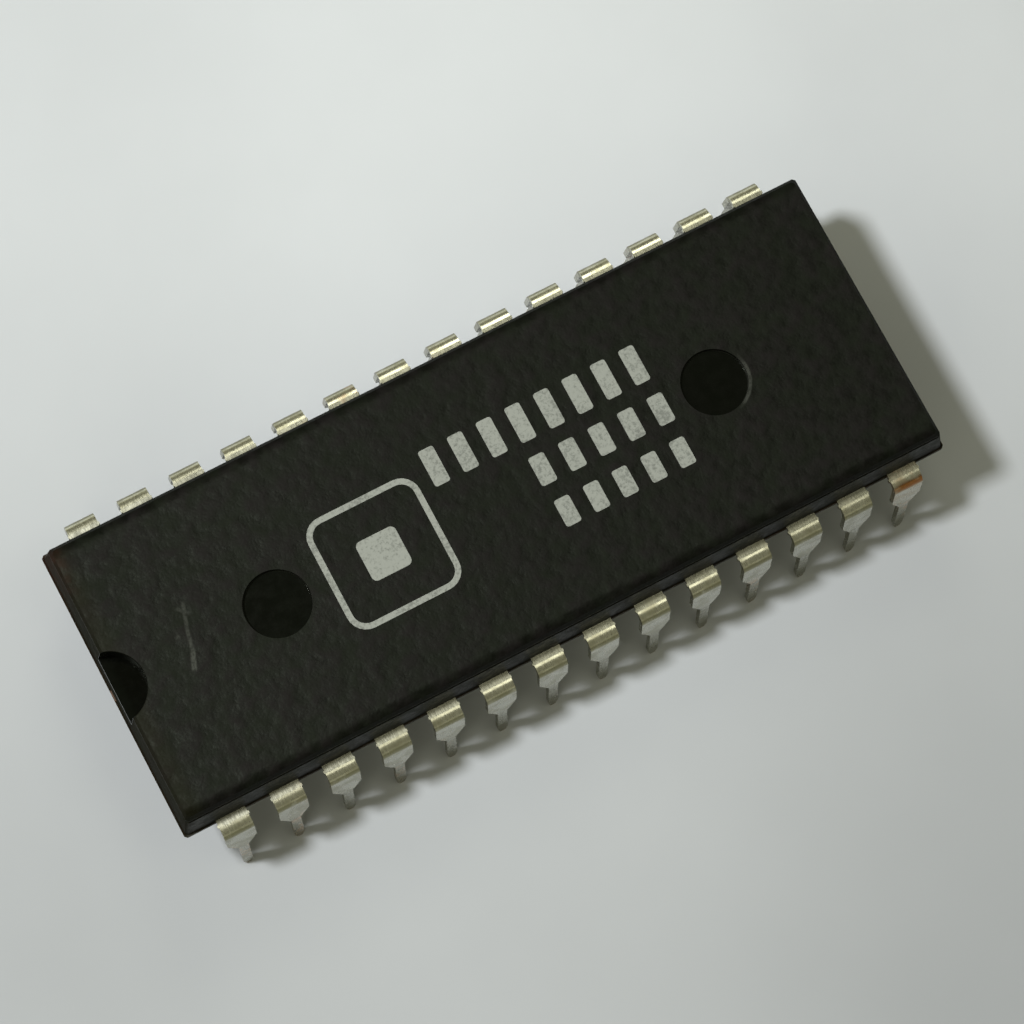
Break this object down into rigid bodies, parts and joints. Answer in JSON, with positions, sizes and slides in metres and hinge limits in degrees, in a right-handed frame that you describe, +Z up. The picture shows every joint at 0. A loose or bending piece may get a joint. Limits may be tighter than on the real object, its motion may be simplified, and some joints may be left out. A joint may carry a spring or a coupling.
{
  "type": "dip integrated circuit chip",
  "caption": "Wide dual in-line chip: black moulded block with an end notch and round marks on top, over two rows of formed tinned leads.",
  "frame": {"origin": "under the middle of the body, at the level of the lead tips", "axes": "+X along the body away from the notched end, +Y across the two lead rows, +Z up from the lead tips to the body's top"},
  "size_m": [0.0374, 0.0166, 0.0076],
  "materials": {
    "moulding_compound": "satin charcoal epoxy moulding compound with a fine grain",
    "tinned_lead": "bright tin plating, slightly yellowed, with fine streaks",
    "lead_frame_pad": "bare rolled copper alloy sheet",
    "die_adhesive": "silver-filled epoxy film",
    "silicon": "polished silicon under a clear passivation layer",
    "gold_wire": "smooth drawn gold wire",
    "marking_ink": "thin pale grey printed ink, slightly uneven"
  },
  "bodies": {
    "root": {"moulded_body": "moulding_compound", "pin_01": "tinned_lead", "pin_02": "tinned_lead", "pin_03": "tinned_lead", "pin_04": "tinned_lead", "pin_05": "tinned_lead", "pin_06": "tinned_lead", "pin_07": "tinned_lead", "pin_08": "tinned_lead", "pin_09": "tinned_lead", "pin_10": "tinned_lead", "pin_11": "tinned_lead", "pin_12": "tinned_lead", "pin_13": "tinned_lead", "pin_14": "tinned_lead", "pin_15": "tinned_lead", "pin_16": "tinned_lead", "pin_17": "tinned_lead", "pin_18": "tinned_lead", "pin_19": "tinned_lead", "pin_20": "tinned_lead", "pin_21": "tinned_lead", "pin_22": "tinned_lead", "pin_23": "tinned_lead", "pin_24": "tinned_lead", "pin_25": "tinned_lead", "pin_26": "tinned_lead", "pin_27": "tinned_lead", "pin_28": "tinned_lead", "die_pad": "lead_frame_pad", "die_attach": "die_adhesive", "silicon_die": "silicon", "bond_wire_01": "gold_wire", "bond_wire_02": "gold_wire", "bond_wire_03": "gold_wire", "bond_wire_04": "gold_wire", "bond_wire_05": "gold_wire", "bond_wire_06": "gold_wire", "bond_wire_07": "gold_wire", "bond_wire_08": "gold_wire", "bond_wire_09": "gold_wire", "bond_wire_10": "gold_wire", "bond_wire_11": "gold_wire", "bond_wire_12": "gold_wire", "bond_wire_13": "gold_wire", "bond_wire_14": "gold_wire", "bond_wire_15": "gold_wire", "bond_wire_16": "gold_wire", "bond_wire_17": "gold_wire", "bond_wire_18": "gold_wire", "bond_wire_19": "gold_wire", "bond_wire_20": "gold_wire", "bond_wire_21": "gold_wire", "bond_wire_22": "gold_wire", "bond_wire_23": "gold_wire", "bond_wire_24": "gold_wire", "bond_wire_25": "gold_wire", "bond_wire_26": "gold_wire", "bond_wire_27": "gold_wire", "bond_wire_28": "gold_wire"}
  },
  "joints": []
}
